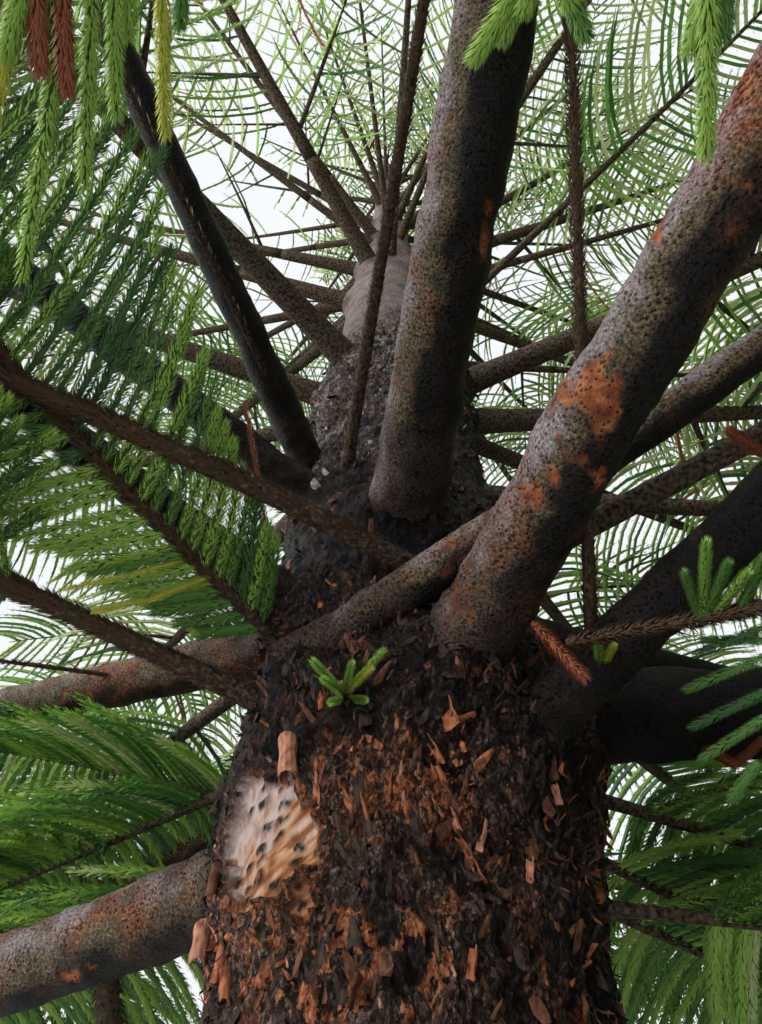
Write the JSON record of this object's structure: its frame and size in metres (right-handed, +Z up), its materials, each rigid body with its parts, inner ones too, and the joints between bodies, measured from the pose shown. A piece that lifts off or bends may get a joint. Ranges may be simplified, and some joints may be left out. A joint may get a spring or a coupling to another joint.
{
  "type": "norfolk island pine tree",
  "caption": "Whole young island pine rooted in level ground: straight flaking trunk with a flared foot, whorls of level boughs and flat fronds of rope-like needle sprays.",
  "frame": {"origin": "middle of the flat cut under the trunk, at ground level", "axes": "+Z up along the trunk, -Y towards the side from which the picture looks up at it, +X to the right of that view"},
  "size_m": [7.1075, 7.098, 10.5],
  "materials": {
    "trunk_bark": "very rough dark flaking bark, grey-brown to near black, with rust-orange torn undersides and a peeled pale tan patch",
    "bough_bark": "matt grey-brown bark with small dark dots and orange-red bare patches",
    "needles": "matt dark green awl-shaped needles, packed into rope-like sprays, with a few yellow-green and red-brown ones"
  },
  "bodies": {
    "root": {"bough_low_1": "bough_bark", "bough_low_2": "bough_bark", "bough_low_3": "bough_bark", "bough_low_4": "bough_bark", "bough_low_5": "bough_bark", "bough_low_6": "bough_bark", "bough_low_7": "bough_bark", "bough_second_1": "bough_bark", "bough_second_2": "bough_bark", "bough_second_3": "bough_bark", "bough_second_4": "bough_bark", "bough_second_5": "bough_bark", "bough_second_6": "bough_bark", "bough_second_7": "bough_bark", "bough_second_8": "bough_bark", "foliage_fifth_1": "needles", "foliage_fifth_2": "needles", "foliage_fifth_3": "needles", "foliage_fifth_4": "needles", "foliage_fourth_1": "needles", "foliage_fourth_2": "needles", "foliage_fourth_3": "needles", "foliage_fourth_4": "needles", "foliage_fourth_5": "needles", "foliage_low_1": "needles", "foliage_low_2": "needles", "foliage_low_3": "needles", "foliage_low_4": "needles", "foliage_low_5": "needles", "foliage_low_6": "needles", "foliage_low_7": "needles", "foliage_second_1": "needles", "foliage_second_2": "needles", "foliage_second_3": "needles", "foliage_second_4": "needles", "foliage_second_5": "needles", "foliage_second_6": "needles", "foliage_second_7": "needles", "foliage_second_8": "needles", "foliage_seventh_1": "needles", "foliage_seventh_2": "needles", "foliage_seventh_3": "needles", "foliage_sixth_1": "needles", "foliage_sixth_2": "needles", "foliage_sixth_3": "needles", "foliage_sixth_4": "needles", "foliage_third_1": "needles", "foliage_third_2": "needles", "foliage_third_3": "needles", "foliage_third_4": "needles", "foliage_third_5": "needles", "foliage_third_6": "needles", "foliage_top_1": "needles", "foliage_top_2": "needles", "foliage_top_3": "needles", "shoot_1": "needles", "shoot_2": "needles", "shoot_3": "needles", "shoot_4": "needles", "trunk": "trunk_bark"}
  },
  "joints": []
}
